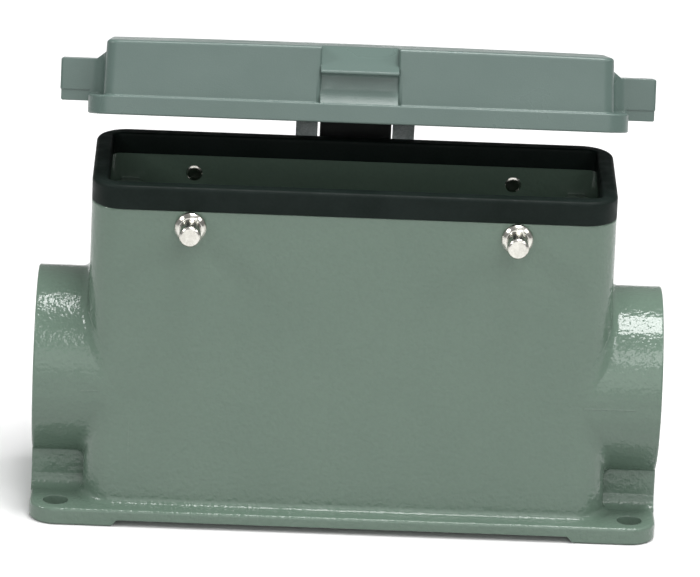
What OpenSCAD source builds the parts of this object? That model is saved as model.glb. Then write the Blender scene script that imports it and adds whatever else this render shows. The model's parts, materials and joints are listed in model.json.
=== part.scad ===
// Surface-mounting housing of a heavy duty rectangular connector, with its hinged cover.
// Origin at the centre of the base underside, +X along the length, front toward -Y, +Z up.

/* [Housing] */
// Length of the base flange and over the two cable bosses
base_l = 144.6; // [130:0.1:170]
// Depth of the base flange, front to back
base_w = 53.2; // [46:0.1:70]
// Thickness of the base flange
base_t = 4.0; // [3:0.1:8]
// Length of the upright body
body_l = 120.0; // [110:0.1:130]
// Depth of the upright body
body_w = 42.9; // [38:0.1:50]
// Height of the gasket's top face above the base
rim_z = 81.0; // [60:0.5:110]
// Wall thickness of the casting
wall_t = 3.1; // [2:0.1:5]

/* [Cable entries] */
// Height of the entry axis above the base
entry_z = 31.3; // [25:0.1:45]
// Outer radius of the cable bosses
boss_r = 21.7; // [17:0.1:23]
// Radius of the entry bore (core of an M32 thread)
entry_r = 15.25; // [8:0.05:18]

/* [Fixing holes] */
// Spacing of the base holes along the length
hole_x = 132.6; // [120:0.1:150]
// Spacing of the base holes across the depth
hole_y = 42.0; // [30:0.1:60]
// Radius of the base holes
hole_r = 2.9; // [2:0.05:4]
// Spacing of the insert screws along the length
insert_x = 104.0; // [90:0.5:110]
// Spacing of the insert screws across the depth
insert_y = 27.0; // [20:0.5:34]

/* [Locking pegs] */
// Distance from the middle to each peg axis
peg_x = 37.2; // [20:0.1:50]
// Height of the peg axes above the base
peg_z = 71.65; // [55:0.05:100]
// Radius of the peg's plain end
peg_r = 2.45; // [1.5:0.05:4]

/* [Cover] */
// Length of the cover over its skirt
skirt_l = 123.2; // [118:0.1:130]
// Height of the cover above the gasket
cover_h = 16.9; // [12:0.1:30]
// Angle the cover stands open in the modelled pose
tilt = 16.0; // [0:0.5:110]
// Distance of the hinge pin behind the middle
hinge_y = 34.0; // [28:0.5:45]
// Height of the hinge pin above the base
hinge_z = 65.0; // [50:0.5:80]

/* [Hidden] */
$fn = 96;
eps = 0.02;
corner_r = 7.5;
base_corner = 6.0;
cav_corner = 3.4;
relief_x = 53;
relief_h = 1.5;
floor_z = 7;
shoulder_z = rim_z - 5.65;
tongue_top = rim_z - 2.0;
gasket_w = 43.0;
mouth_l = 112.4;
mouth_w = 35.4;
cav_l = body_l - 2 * wall_t + 0.2;
cav_w = body_w - 2 * wall_t;
ped_w = 22.8;
peg_shank_r = 1.6;
peg_out = 7.55;
running_gap = 0.05;
seat_z = rim_z + 0.15;
skirt_w = 45.0;
skirt_h = 4.3;
box_l = 116.2;
box_draft = 0.35;
crown = 0.35;
box_w = 42.4;
cover_t = 2.4;
notch_w = 17.2;
pin_r = 2.0;
ear_x = 14.6;
ear_t = 2.0;
plate_t = 1.5;
leg_t = 1.6;
leg_in = 8.8;
leg_out = 13.9;
block_w = 16.7;
block_shift = 0.1;
rivet_r = 1.6;

// A plate with four rounded corners, its underside at z = 0.
module rounded_plate(l, w, h, r) {
    linear_extrude(h) union() {
        square([l - 2 * r, w], center = true);
        square([l, w - 2 * r], center = true);
        for (sx = [-1, 1], sy = [-1, 1])
            translate([sx * (l / 2 - r), sy * (w / 2 - r)]) circle(r);
    }
}

// Draws a profile given in Y and Z, centred on x, w long.
module along_x(x, w) {
    translate([x - w / 2, 0, 0]) rotate([90, 0, 90]) linear_extrude(w) children();
}

// A cylinder along X, centred on x, w long.
module rod_x(x, w, r, y = 0, z = 0) {
    translate([x - w / 2, y, z]) rotate([0, 90, 0]) cylinder(h = w, r = r);
}

// A cylinder along Y from y0 to y1.
module rod_y(x, z, y0, y1, ra, rb) {
    translate([x, y0, z]) rotate([-90, 0, 0]) cylinder(h = y1 - y0, r1 = ra, r2 = rb);
}

// Swings what it holds from the closed cover to the modelled pose.
module opened() {
    translate([0, hinge_y, hinge_z]) rotate([-tilt, 0, 0]) translate([0, -hinge_y, -hinge_z]) children();
}

// Foot fillet along the front and the back of a boss pedestal.
module pedestal_profile() {
    h = ped_w / 2;
    f = 2.6;
    polygon([
        [-h - f, base_t - eps], [-h - 0.36 * f, base_t + 0.3 * f], [-h, base_t + f], [-h, entry_z],
        [h, entry_z], [h, base_t + f], [h + 0.36 * f, base_t + 0.3 * f], [h + f, base_t - eps]
    ]);
}

module entry_boss(s) {
    len = (base_l - body_l) / 2 + corner_r;
    mid = s * (base_l / 2 - len / 2);
    intersection() {
        rod_x(mid, len, boss_r, 0, entry_z);
        translate([mid, 0, entry_z]) cube([len + 1, body_w - eps, 3 * boss_r], center = true);
    }
    along_x(s * (base_l + body_l - 6) / 4, (base_l - body_l + 6) / 2) pedestal_profile();
}

// Post in a corner of the cavity that takes one insert screw.
module insert_post(sx, sy) {
    x = sx * insert_x / 2;
    y = sy * insert_y / 2;
    top = shoulder_z - 5.4;
    over_entry = entry_z + entry_r + 1.5;
    translate([x, y, floor_z - 1]) cylinder(h = top - floor_z + 1, r = 4.2, $fn = 48);
    translate([min(x, sx * (cav_l / 2 + 1)), y - 2, over_entry])
        cube([abs(x - sx * (cav_l / 2 + 1)), 4, top - over_entry]);
    translate([x - 2, min(y, sy * (cav_w / 2 + 1)), floor_z - 1])
        cube([4, abs(y - sy * (cav_w / 2 + 1)), top - floor_z + 1]);
}

module housing() {
    color("slategray")
    difference() {
        union() {
            rounded_plate(base_l, base_w, base_t, base_corner);
            translate([0, 0, base_t - eps]) rounded_plate(body_l + 1.4, body_w + 1.4, 0.7, corner_r + 0.7);
            difference() {
                union() {
                    rounded_plate(body_l, body_w, shoulder_z, corner_r);
                    rounded_plate(body_l - 2.5, body_w - 2.5, tongue_top, corner_r - 1.2);
                    for (s = [-1, 1]) entry_boss(s);
                }
                translate([0, 0, floor_z]) rounded_plate(cav_l, cav_w, rim_z, cav_corner);
            }
            for (sx = [-1, 1], sy = [-1, 1]) insert_post(sx, sy);
        }
        along_x(0, 2 * relief_x) translate([-base_w, -1]) square([2 * base_w, 1 + relief_h]);
        for (s = [-1, 1]) {
            rod_x(s * (cav_l + base_l) / 4, (base_l - cav_l) / 2 + 1, entry_r, 0, entry_z);
            translate([s * (base_l / 2 + eps), 0, entry_z]) rotate([0, -90 * s, 0])
                cylinder(h = 1.2, r1 = entry_r + 1.2, r2 = entry_r);
        }
        for (sx = [-1, 1], sy = [-1, 1]) {
            translate([sx * hole_x / 2, sy * hole_y / 2, -1]) cylinder(h = base_t + 2, r = hole_r, $fn = 48);
            translate([sx * insert_x / 2, sy * insert_y / 2, shoulder_z - 18])
                cylinder(h = 18, r = 1.65, $fn = 32);
            rod_y(sx * peg_x, peg_z, sy > 0 ? cav_w / 2 - 2 : -body_w / 2 - 1,
                sy > 0 ? body_w / 2 + 1 : -cav_w / 2 + 2, peg_shank_r + running_gap, peg_shank_r + running_gap);
        }
        for (s = [-1, 1])
            rod_y(s * 6, hinge_z - 6, cav_w / 2 - 2, body_w / 2 + 1, 1.55 + running_gap, 1.55 + running_gap);
    }
}

// Inverted U that caps the tongue of the casting all the way round.
module rim_gasket() {
    tl = body_l - 2.5;
    tw = body_w - 2.5;
    color("darkslategray")
    difference() {
        translate([0, 0, shoulder_z]) rounded_plate(body_l, gasket_w, rim_z - shoulder_z, corner_r);
        translate([0, 0, shoulder_z - 1]) difference() {
            rounded_plate(tl + 0.3, tw + 0.3, tongue_top - shoulder_z + 1, corner_r - 1.1);
            rounded_plate(cav_l - 0.3, cav_w - 0.3, rim_z, cav_corner - 0.1);
        }
        translate([0, 0, shoulder_z - 1]) rounded_plate(mouth_l, mouth_w, rim_z, 2.0);
        translate([0, 0, shoulder_z - 1]) rounded_plate(cav_l + 0.1, cav_w + 0.1, 2.0, cav_corner);
    }
}

// Riveted steel peg: plain end, collar, shank through the wall and a headed inner end.
module peg(sx, sy) {
    face = body_w / 2;
    inner = cav_w / 2;
    color("gainsboro") translate([sx * peg_x, 0, peg_z]) rotate([0, 0, sy < 0 ? 0 : 180]) {
        rod_y(0, 0, -face - peg_out, -face - peg_out + 0.4, peg_r - 0.4, peg_r);
        rod_y(0, 0, -face - peg_out + 0.4, -face - 1.5, peg_r, peg_r);
        rod_y(0, 0, -face - 1.8, -face - 1.2, peg_r + 0.65, peg_r + 1.2);
        rod_y(0, 0, -face - 1.2, -face, peg_r + 1.2, peg_r + 1.2);
        rod_y(0, 0, -face - 0.5, -inner + 0.3, peg_shank_r, peg_shank_r);
        rod_y(0, 0, -inner, -inner + 0.5, 2.1, 1.5);
    }
}

// Skirt outline set back in the middle of the rear, where the hinge leaves the cover.
module skirt() {
    difference() {
        translate([0, 0, seat_z]) rounded_plate(skirt_l, skirt_w, skirt_h, 5.2);
        translate([-leg_out - 0.4, box_w / 2, seat_z - 1]) cube([2 * leg_out + 0.8, 5, skirt_h + 2]);
    }
}

module cover_box() {
    r = 1.8;
    top = seat_z + cover_h;
    hull() {
        for (sy = [-1, 1]) {
            y = sy * (box_w / 2 - r);
            translate([0, y - sy * box_draft, top + crown - r]) sphere(r, $fn = 32);
            for (sx = [-1, 1]) {
                x = sx * (box_l / 2 - r);
                translate([x - sx * box_draft, y - sy * box_draft, top - r]) sphere(r, $fn = 32);
                translate([x, y, seat_z + 1]) cylinder(h = 4, r = r, $fn = 32);
            }
        }
    }
}

// Moulded lug on each end of the cover, with a sloped gusset up to the end wall.
module end_lug(s) {
    x0 = box_l / 2 - 1;
    x1 = box_l / 2 + 10.3;
    intersection() {
        rotate([90, 0, 0]) linear_extrude(20, center = true) polygon([
            [s * x0, seat_z + 2.4], [s * (x1 - 0.5), seat_z + 2.4], [s * (x1 - 0.2), seat_z + 2.7],
            [s * (x1 - 0.2), seat_z + 4.9], [s * x1, seat_z + 4.9], [s * x1, seat_z + 11.8],
            [s * (x1 - 0.3), seat_z + 12.1], [s * (x0 + 3.2), seat_z + 12.1], [s * (x0 + 1), seat_z + 13.9],
            [s * x0, seat_z + 13.9]
        ]);
        linear_extrude(200) polygon([
            [s * x0, -8], [s * (x0 + 1.4), -8], [s * (x0 + 2.3), -6], [s * (x0 + 4.2), -5], [s * x1, -5],
            [s * x1, 5], [s * (x0 + 4.2), 5], [s * (x0 + 2.3), 6], [s * (x0 + 1.4), 8], [s * x0, 8]
        ]);
    }
}

// Finger grip in the middle of the front: ramp, lip and the hollow face below it.
module grip_block() {
    along_x(0, notch_w) polygon([
        [-box_w / 2 + 8.4, seat_z + cover_h + crown], [-skirt_w / 2 + 0.3, seat_z + 12.3], [-skirt_w / 2, seat_z + 11.9],
        [-skirt_w / 2, seat_z + 11.2], [-box_w / 2 + 0.3, seat_z + 10.9], [-box_w / 2 - 0.2, seat_z + 8.0],
        [-skirt_w / 2 + 0.2, seat_z + 4.4], [-skirt_w / 2, seat_z + 2.0], [-skirt_w / 2 + 3, seat_z + 1.0],
        [-box_w / 2 + 5.0, seat_z + 11.0], [-box_w / 2 + 11.0, seat_z + cover_h - 2.2],
        [-box_w / 2 + 11.0, seat_z + cover_h + crown]
    ]);
}

module cover() {
    iw = box_w - 2 * cover_t;
    il = box_l - 2 * cover_t;
    color("lightslategray") opened()
    union() {
        difference() {
            union() {
                skirt();
                cover_box();
                for (s = [-1, 1]) end_lug(s);
            }
            translate([0, 0, seat_z - 1]) rounded_plate(il, iw, cover_h + 1 - cover_t, 1.4);
            along_x(0, notch_w) polygon([
                [-30, seat_z + 4.4], [-box_w / 2 + 1.5, seat_z + 4.4], [-box_w / 2 + 3.0, seat_z + 11.0],
                [-box_w / 2 + 9.5, seat_z + cover_h + 1], [-30, seat_z + cover_h + 1]
            ]);
            for (x = [-11.4, -4, 4, 11.4])
                rod_y(x, seat_z + (abs(x) < 5 ? 5.1 : 11.0), iw / 2 - 2, box_w / 2 + 2,
                    rivet_r + running_gap, rivet_r + running_gap);
        }
        grip_block();
        for (s = [-1, 1]) along_x(s * notch_w / 2, 1.6) polygon([
            [-iw / 2 - 0.5, seat_z + 4.4], [-iw / 2 + 1.8, seat_z + 4.4], [-iw / 2 + 2.6, seat_z + 11.0],
            [-iw / 2 + 9.4, seat_z + cover_h - 1.2], [-iw / 2 - 0.5, seat_z + cover_h - 1.2]
        ]);
        for (s = [-1, 1]) translate([s * 32 - 0.8, -iw / 2 - 0.5, seat_z + 9])
            cube([1.6, iw + 1, cover_h - 9 - cover_t + 0.5]);
    }
}

// One bent strap: bridge on the cover's rear wall, two legs, an eye round the pin on each.
module hinge_stirrup() {
    y0 = box_w / 2;
    d = [hinge_y - y0 + 1.2, hinge_z - seat_z - 1.7];
    color("silver") opened()
    difference() {
        union() {
            along_x(0, 2 * leg_out) translate([y0, seat_z + 8.3]) square([leg_t, 5.7]);
            for (s = [-1, 1]) along_x(s * (leg_in + leg_out) / 2, leg_out - leg_in) union() {
                polygon([
                    [y0, seat_z + 14.0], [y0, seat_z + 2.9], [hinge_y + 0.9, hinge_z + 2.0],
                    [hinge_y + 3.2, hinge_z + 1.6], [y0 + leg_t, seat_z + 3.4], [y0 + leg_t, seat_z + 14.0]
                ]);
                translate([hinge_y, hinge_z]) circle(3.6);
            }
        }
        rod_x(0, 40, pin_r + running_gap, hinge_y, hinge_z);
        for (s = [-1, 1]) rod_y(s * 11.4, seat_z + 11.0, y0 - 1, y0 + 4, rivet_r + running_gap, rivet_r + running_gap);
    }
}

// Plastic arm between the two legs, with the barrel that turns on the pin.
module hinge_block() {
    y0 = box_w / 2;
    color("dimgray") opened()
    difference() {
        along_x(block_shift, block_w) union() {
            polygon([
                [y0, seat_z + 8.1], [y0, seat_z + 2.6], [hinge_y - 4.2, hinge_z + 1.5],
                [hinge_y + 4.2, hinge_z + 1.5], [y0 + 4.8, seat_z + 2.0], [y0 + 4.8, seat_z + 8.1]
            ]);
            translate([hinge_y, hinge_z]) circle(4.5);
        }
        rod_x(0, 40, pin_r + running_gap, hinge_y, hinge_z);
        for (s = [-1, 1]) rod_y(s * 4, seat_z + 5.1, y0 - 1, y0 + 9, rivet_r + running_gap, rivet_r + running_gap);
    }
}

// A rivet along Y with a domed outer head and a flat inner head.
module rivet(x, z, outer) {
    inner = box_w / 2 - cover_t;
    rod_y(x, z, inner - 0.8, inner, 2.3, 2.7);
    rod_y(x, z, inner - 0.4, outer + 0.3, rivet_r, rivet_r);
    rod_y(x, z, outer, outer + 0.5, 2.8, 2.8);
    rod_y(x, z, outer + 0.5, outer + 1.1, 2.8, 1.7);
}

module hinge_rivets() {
    color("gainsboro") opened() {
        for (s = [-1, 1]) {
            rivet(s * 11.4, seat_z + 11.0, box_w / 2 + leg_t);
            rivet(s * 4, seat_z + 5.1, box_w / 2 + 4.8);
        }
    }
}

// Galvanised plate on the rear wall with two ears that hold the pin.
module hinge_bracket() {
    y0 = body_w / 2;
    color("silver")
    difference() {
        union() {
            translate([-ear_x - ear_t, y0, hinge_z - 12]) cube([2 * (ear_x + ear_t), plate_t, 20]);
            for (s = [-1, 1]) along_x(s * (ear_x + ear_t / 2), ear_t) union() {
                polygon([
                    [y0, hinge_z - 12], [y0 + 3, hinge_z - 12], [hinge_y + 3.2, hinge_z - 3.3],
                    [hinge_y + 2, hinge_z + 4.2], [y0 + 3, hinge_z + 8], [y0, hinge_z + 8]
                ]);
                translate([hinge_y, hinge_z]) circle(4.6);
            }
        }
        rod_x(0, 60, pin_r + running_gap, hinge_y, hinge_z);
        for (s = [-1, 1]) rod_y(s * 6, hinge_z - 6, y0 - 1, y0 + 4, 1.55 + running_gap, 1.55 + running_gap);
    }
}

module bracket_screws() {
    y0 = body_w / 2 + plate_t;
    color("gainsboro") for (s = [-1, 1]) difference() {
        union() {
            rod_y(s * 6, hinge_z - 6, cav_w / 2 + 0.2, y0 + 0.5, 1.55, 1.55);
            rod_y(s * 6, hinge_z - 6, y0, y0 + 1.4, 2.9, 2.9);
            rod_y(s * 6, hinge_z - 6, y0 + 1.4, y0 + 2.2, 2.9, 2.1);
        }
        translate([s * 6 - 2.0, y0 + 1.0, hinge_z - 6.35]) cube([4.0, 2, 0.7]);
        translate([s * 6 - 0.35, y0 + 1.0, hinge_z - 8.0]) cube([0.7, 2, 4.0]);
    }
}

module hinge_pin() {
    w = ear_x + ear_t;
    color("gainsboro") difference() {
        union() {
            rod_x(0.9, 2 * w + 3.4, pin_r, hinge_y, hinge_z);
            rod_x(-w - 0.6, 1.2, 3.2, hinge_y, hinge_z);
        }
        difference() {
            rod_x(w + 0.65, 0.9, 3, hinge_y, hinge_z);
            rod_x(w + 0.65, 2, 1.5, hinge_y, hinge_z);
        }
    }
}

// Retaining ring snapped into the groove at the pin's right end.
module pin_clip() {
    x = ear_x + ear_t + 0.65;
    color("darkgray") difference() {
        rod_x(x, 0.7, 3.6, hinge_y, hinge_z);
        rod_x(x, 2, 1.55, hinge_y, hinge_z);
        translate([x - 1, hinge_y - 0.9, hinge_z - 5]) cube([2, 1.8, 5]);
    }
}

housing();
rim_gasket();
peg(-1, -1);  // peg_front_left
peg(1, -1);  // peg_front_right
peg(-1, 1);  // peg_rear_left
peg(1, 1);  // peg_rear_right
hinge_bracket();
bracket_screws();
hinge_pin();
pin_clip();
cover();
hinge_stirrup();
hinge_block();
hinge_rivets();
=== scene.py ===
import json
import math

import bmesh
import bpy
from mathutils import Matrix, Vector


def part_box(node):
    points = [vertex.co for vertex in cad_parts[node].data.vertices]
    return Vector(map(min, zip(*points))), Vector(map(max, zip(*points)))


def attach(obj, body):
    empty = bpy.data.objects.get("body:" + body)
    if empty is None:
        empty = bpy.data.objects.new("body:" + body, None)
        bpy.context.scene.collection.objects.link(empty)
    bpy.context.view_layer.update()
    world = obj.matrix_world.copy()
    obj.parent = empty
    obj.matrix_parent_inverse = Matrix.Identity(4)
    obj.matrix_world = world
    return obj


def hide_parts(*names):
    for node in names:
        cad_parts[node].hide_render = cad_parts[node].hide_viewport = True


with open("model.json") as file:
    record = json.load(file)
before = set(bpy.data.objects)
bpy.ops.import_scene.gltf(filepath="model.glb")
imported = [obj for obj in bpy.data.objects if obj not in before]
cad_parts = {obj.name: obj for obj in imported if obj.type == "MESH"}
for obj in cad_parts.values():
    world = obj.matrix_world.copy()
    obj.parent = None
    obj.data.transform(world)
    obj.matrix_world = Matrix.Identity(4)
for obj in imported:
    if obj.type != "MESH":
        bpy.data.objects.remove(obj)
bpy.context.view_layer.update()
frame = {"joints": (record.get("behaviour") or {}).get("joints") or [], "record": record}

# Surface-mounting connector housing with its hinged cover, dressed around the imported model.
# Shapes are written in millimetres and scaled once, when a piece is finished.

mm = 0.001


def boxMm(node):
    low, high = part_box(node)
    return low / mm, high / mm


housingLow, housingHigh = boxMm("housing")
gasketLow, gasketHigh = boxMm("rim_gasket")
mounts = {mount["name"]: mount for mount in frame["record"]["mounts"]}
hinge = frame["joints"][0]
hingeAt = Vector(hinge["pos_m"]) / mm
hingeAxis = Vector(hinge["axis"])
# the cover is built shut and then swung back to the modelled pose
openTurn = (
    Matrix.Translation(hingeAt)
    @ Matrix.Rotation(math.radians(-hinge["range_deg"][0]), 4, hingeAxis)
    @ Matrix.Translation(-hingeAt)
)
rimZ = gasketHigh.z
seatZ = rimZ + 0.15  # underside of the shut cover
print("frame read, rim at", round(rimZ, 2), "mm")


# mesh helpers, all in millimetres

def roundedRing(length, width, radius, z, steps=8, longCuts=1, shortCuts=1):
    # starts at the right rear corner and runs anticlockwise seen from above
    ring = []
    halfX, halfY = length / 2 - radius, width / 2 - radius
    corners = ((1, 1), (-1, 1), (-1, -1), (1, -1))
    for index, (sideX, sideY) in enumerate(corners):
        for step in range(steps + 1):
            turn = math.radians(90 * (index + step / steps))
            x = sideX * halfX + radius * math.cos(turn)
            y = sideY * halfY + radius * math.sin(turn)
            ring.append(Vector((x, y, z)))
        nextX, nextY = corners[(index + 1) % 4]
        turn = math.radians(90 * (index + 1))
        there = Vector((nextX * halfX + radius * math.cos(turn), nextY * halfY + radius * math.sin(turn), z))
        cuts = longCuts if nextY == sideY else shortCuts
        here = ring[-1].copy()
        for cut in range(1, cuts):
            ring.append(here.lerp(there, cut / cuts))
    return ring


def ringStack(rings):
    # closed solid through rings of equal point counts
    bm = bmesh.new()
    loops = [[bm.verts.new(point) for point in ring] for ring in rings]
    for lower, upper in zip(loops, loops[1:]):
        for index in range(len(lower)):
            after = (index + 1) % len(lower)
            bm.faces.new((lower[index], lower[after], upper[after], upper[index]))
    bm.faces.new(list(reversed(loops[0])))
    bm.faces.new(loops[-1])
    bmesh.ops.recalc_face_normals(bm, faces=bm.faces)
    return bm


def edgeArc(inset, rise, steps):
    # quarter round between a wall and a flat, as (inset, rise) pairs from the wall upward
    pairs = []
    for step in range(steps + 1):
        turn = math.radians(90 * step / steps)
        pairs.append((inset * (1 - math.cos(turn)), rise * math.sin(turn)))
    return pairs


def turned(profile, at, along, segments=64):
    # profile pairs are (distance along the axis, radius)
    along = Vector(along).normalized()
    across = along.orthogonal().normalized()
    over = along.cross(across)
    rings = []
    for distance, radius in profile:
        ring = []
        for index in range(segments):
            turn = 2 * math.pi * index / segments
            spoke = across * math.cos(turn) + over * math.sin(turn)
            ring.append(Vector(at) + along * distance + spoke * radius)
        rings.append(ring)
    return ringStack(rings)


def prism(outline, axis, start, end, bevel=0.0):
    # outline pairs are (y, z) for axis x, (x, z) for axis y and (x, y) for axis z
    place = {
        "x": lambda a, b, c: (c, a, b),
        "y": lambda a, b, c: (a, c, b),
        "z": lambda a, b, c: (a, b, c),
    }[axis]
    bm = ringStack([[Vector(place(a, b, c)) for a, b in outline] for c in (start, end)])
    if bevel:
        sharp = [edge for edge in bm.edges if edge.calc_face_angle(0) > math.radians(25)]
        bmesh.ops.bevel(bm, geom=sharp, offset=bevel, segments=2, profile=0.5, affect="EDGES",
                        clamp_overlap=True)
    return bm


def oblong(low, high, axis, start, end):
    # block between two corners of its section
    (a0, b0), (a1, b1) = low, high
    return prism([(a0, b0), (a1, b0), (a1, b1), (a0, b1)], axis, start, end)


def arcPoints(centre, radius, fromDegrees, toDegrees, steps):
    points = []
    for step in range(steps + 1):
        turn = math.radians(fromDegrees + (toDegrees - fromDegrees) * step / steps)
        points.append((centre[0] + radius * math.cos(turn), centre[1] + radius * math.sin(turn)))
    return points


def together(*parts):
    # several loose solids in one mesh
    whole = bmesh.new()
    for part in parts:
        scrap = bpy.data.meshes.new("scrap")
        part.to_mesh(scrap)
        part.free()
        whole.from_mesh(scrap)
        bpy.data.meshes.remove(scrap)
    return whole


def shapeFrom(bm):
    mesh = bpy.data.meshes.new("shape")
    bm.to_mesh(mesh)
    bm.free()
    shape = bpy.data.objects.new("shape", mesh)
    bpy.context.scene.collection.objects.link(shape)
    return shape


def takeBack(shape):
    # the opposite of shapeFrom
    bm = bmesh.new()
    bm.from_mesh(shape.data)
    bpy.data.objects.remove(shape)
    return bm


def bake(shape):
    # keeps the result of the modifiers as the mesh
    graph = bpy.context.evaluated_depsgraph_get()
    mesh = bpy.data.meshes.new_from_object(shape.evaluated_get(graph))
    shape.modifiers.clear()
    shape.data = mesh


def combine(shape, bm, operation):
    tool = shapeFrom(bm)
    step = shape.modifiers.new("combine", "BOOLEAN")
    step.operation = operation
    step.solver = "EXACT"
    step.object = tool
    bake(shape)
    bpy.data.objects.remove(tool)


def add(shape, *parts):
    for part in parts:
        combine(shape, part, "UNION")


def cut(shape, *parts):
    for part in parts:
        combine(shape, part, "DIFFERENCE")


def softenEdges(shape, width, segments=2, angle=35):
    bevel = shape.modifiers.new("soft edges", "BEVEL")
    bevel.width = width
    bevel.segments = segments
    bevel.limit_method = "ANGLE"
    bevel.angle_limit = math.radians(angle)
    bevel.use_clamp_overlap = True
    bake(shape)


def finishPiece(name, shape, material, body, replaced=(), turn=None, sharpAngle=40):
    mesh = shape.data
    if turn is not None:
        mesh.transform(turn)
    mesh.transform(Matrix.Scale(mm, 4))
    shape.name = name
    mesh.name = name
    mesh.materials.clear()
    mesh.materials.append(material)
    mesh.shade_smooth()
    mesh.set_sharp_from_angle(angle=math.radians(sharpAngle))
    weigh = shape.modifiers.new("weighted normals", "WEIGHTED_NORMAL")
    weigh.keep_sharp = True
    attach(shape, body)
    if replaced:
        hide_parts(*replaced)
    return shape


# shader groups

def newGroup(name, inputs, outputs):
    group = bpy.data.node_groups.new(name, "ShaderNodeTree")
    for socketName, kind, value in inputs:
        socket = group.interface.new_socket(socketName, in_out="INPUT", socket_type="NodeSocket" + kind)
        if value is not None:
            socket.default_value = value
    for socketName, kind in outputs:
        group.interface.new_socket(socketName, in_out="OUTPUT", socket_type="NodeSocket" + kind)
    groupIn = group.nodes.new("NodeGroupInput")
    groupOut = group.nodes.new("NodeGroupOutput")
    groupIn.location = (-900, 0)
    groupOut.location = (700, 0)
    return group, groupIn, groupOut


def place(tree, kind, x, y, **settings):
    node = tree.nodes.new("ShaderNode" + kind)
    node.location = (x, y)
    for key, value in settings.items():
        setattr(node, key, value)
    return node


def noiseAt(tree, vector, scale, x, y, detail=2.0, roughness=0.5):
    node = place(tree, "TexNoise", x, y)
    node.inputs["Scale"].default_value = scale
    node.inputs["Detail"].default_value = detail
    node.inputs["Roughness"].default_value = roughness
    tree.links.new(vector, node.inputs["Vector"])
    return node


def mathAt(tree, operation, first, second, x, y, clamp=False):
    node = place(tree, "Math", x, y, operation=operation, use_clamp=clamp)
    for socket, value in zip(node.inputs, (first, second)):
        if value is None:
            continue
        if isinstance(value, (int, float)):
            socket.default_value = value
        else:
            tree.links.new(value, socket)
    return node.outputs[0]


def rangeAt(tree, value, low, high, toLow, toHigh, x, y):
    node = place(tree, "MapRange", x, y)
    node.inputs["From Min"].default_value = low
    node.inputs["From Max"].default_value = high
    node.inputs["To Min"].default_value = toLow
    node.inputs["To Max"].default_value = toHigh
    tree.links.new(value, node.inputs["Value"])
    return node.outputs["Result"]


def mixAt(tree, factor, first, second, x, y, blend="MIX"):
    node = place(tree, "Mix", x, y, data_type="RGBA", blend_type=blend)
    for socket, value in ((node.inputs["Factor"], factor), (node.inputs[6], first), (node.inputs[7], second)):
        if isinstance(value, (int, float, tuple)):
            socket.default_value = value
        else:
            tree.links.new(value, socket)
    return node.outputs[2]


def buildHammered():
    # pebbled enamel: soft bumps with a finer ripple over them
    group, groupIn, groupOut = newGroup(
        "hammeredEnamel",
        [("Vector", "Vector", None), ("Pebble Scale", "Float", 1100.0), ("Ripple", "Float", 0.35)],
        [("Height", "Float"), ("Hollows", "Float")],
    )
    link = group.links.new
    pebble = noiseAt(group, groupIn.outputs["Vector"], 1.0, -600, 200, 1.0, 0.45)
    link(groupIn.outputs["Pebble Scale"], pebble.inputs["Scale"])
    coarseScale = mathAt(group, "MULTIPLY", groupIn.outputs["Pebble Scale"], 0.31, -800, -100)
    coarse = noiseAt(group, groupIn.outputs["Vector"], 1.0, -600, -60, 2.0, 0.5)
    link(coarseScale, coarse.inputs["Scale"])
    rippleScale = mathAt(group, "MULTIPLY", groupIn.outputs["Pebble Scale"], 2.3, -800, -300)
    ripple = noiseAt(group, groupIn.outputs["Vector"], 1.0, -600, -320, 0.0, 0.5)
    link(rippleScale, ripple.inputs["Scale"])
    rippled = mathAt(group, "MULTIPLY", ripple.outputs["Fac"], groupIn.outputs["Ripple"], -350, -300)
    softer = mathAt(group, "MULTIPLY", coarse.outputs["Fac"], 0.8, -350, -60)
    first = mathAt(group, "ADD", pebble.outputs["Fac"], softer, -150, 100)
    height = mathAt(group, "ADD", first, rippled, 50, 50)
    link(height, groupOut.inputs["Height"])
    # mask of the pebble dips, which the enamel uses for painted shade
    hollows = rangeAt(group, pebble.outputs["Fac"], 0.62, 0.35, 0.0, 1.0, 50, 300)
    link(hollows, groupOut.inputs["Hollows"])
    return group


def buildMottle():
    # slow drift between two tones of one colour
    group, groupIn, groupOut = newGroup(
        "toneMottle",
        [("Vector", "Vector", None), ("Tone", "Color", (0.5, 0.5, 0.5, 1)),
         ("Other Tone", "Color", (0.4, 0.4, 0.4, 1)), ("Cloud Scale", "Float", 45.0),
         ("Speck Scale", "Float", 900.0), ("Specks", "Float", 0.25)],
        [("Color", "Color"), ("Cloud", "Float")],
    )
    link = group.links.new
    cloud = noiseAt(group, groupIn.outputs["Vector"], 1.0, -600, 200, 3.0, 0.55)
    link(groupIn.outputs["Cloud Scale"], cloud.inputs["Scale"])
    specks = noiseAt(group, groupIn.outputs["Vector"], 1.0, -600, -100, 1.0, 0.5)
    link(groupIn.outputs["Speck Scale"], specks.inputs["Scale"])
    wide = rangeAt(group, cloud.outputs["Fac"], 0.35, 0.65, 0.0, 1.0, -380, 200)
    fine = rangeAt(group, specks.outputs["Fac"], 0.35, 0.65, -0.5, 0.5, -380, -60)
    fine = mathAt(group, "MULTIPLY", fine, groupIn.outputs["Specks"], -180, -60)
    factor = mathAt(group, "ADD", wide, fine, 0, 100, clamp=True)
    color = mixAt(group, factor, groupIn.outputs["Tone"], groupIn.outputs["Other Tone"], 250, 100)
    link(color, groupOut.inputs["Color"])
    link(wide, groupOut.inputs["Cloud"])
    return group


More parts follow.
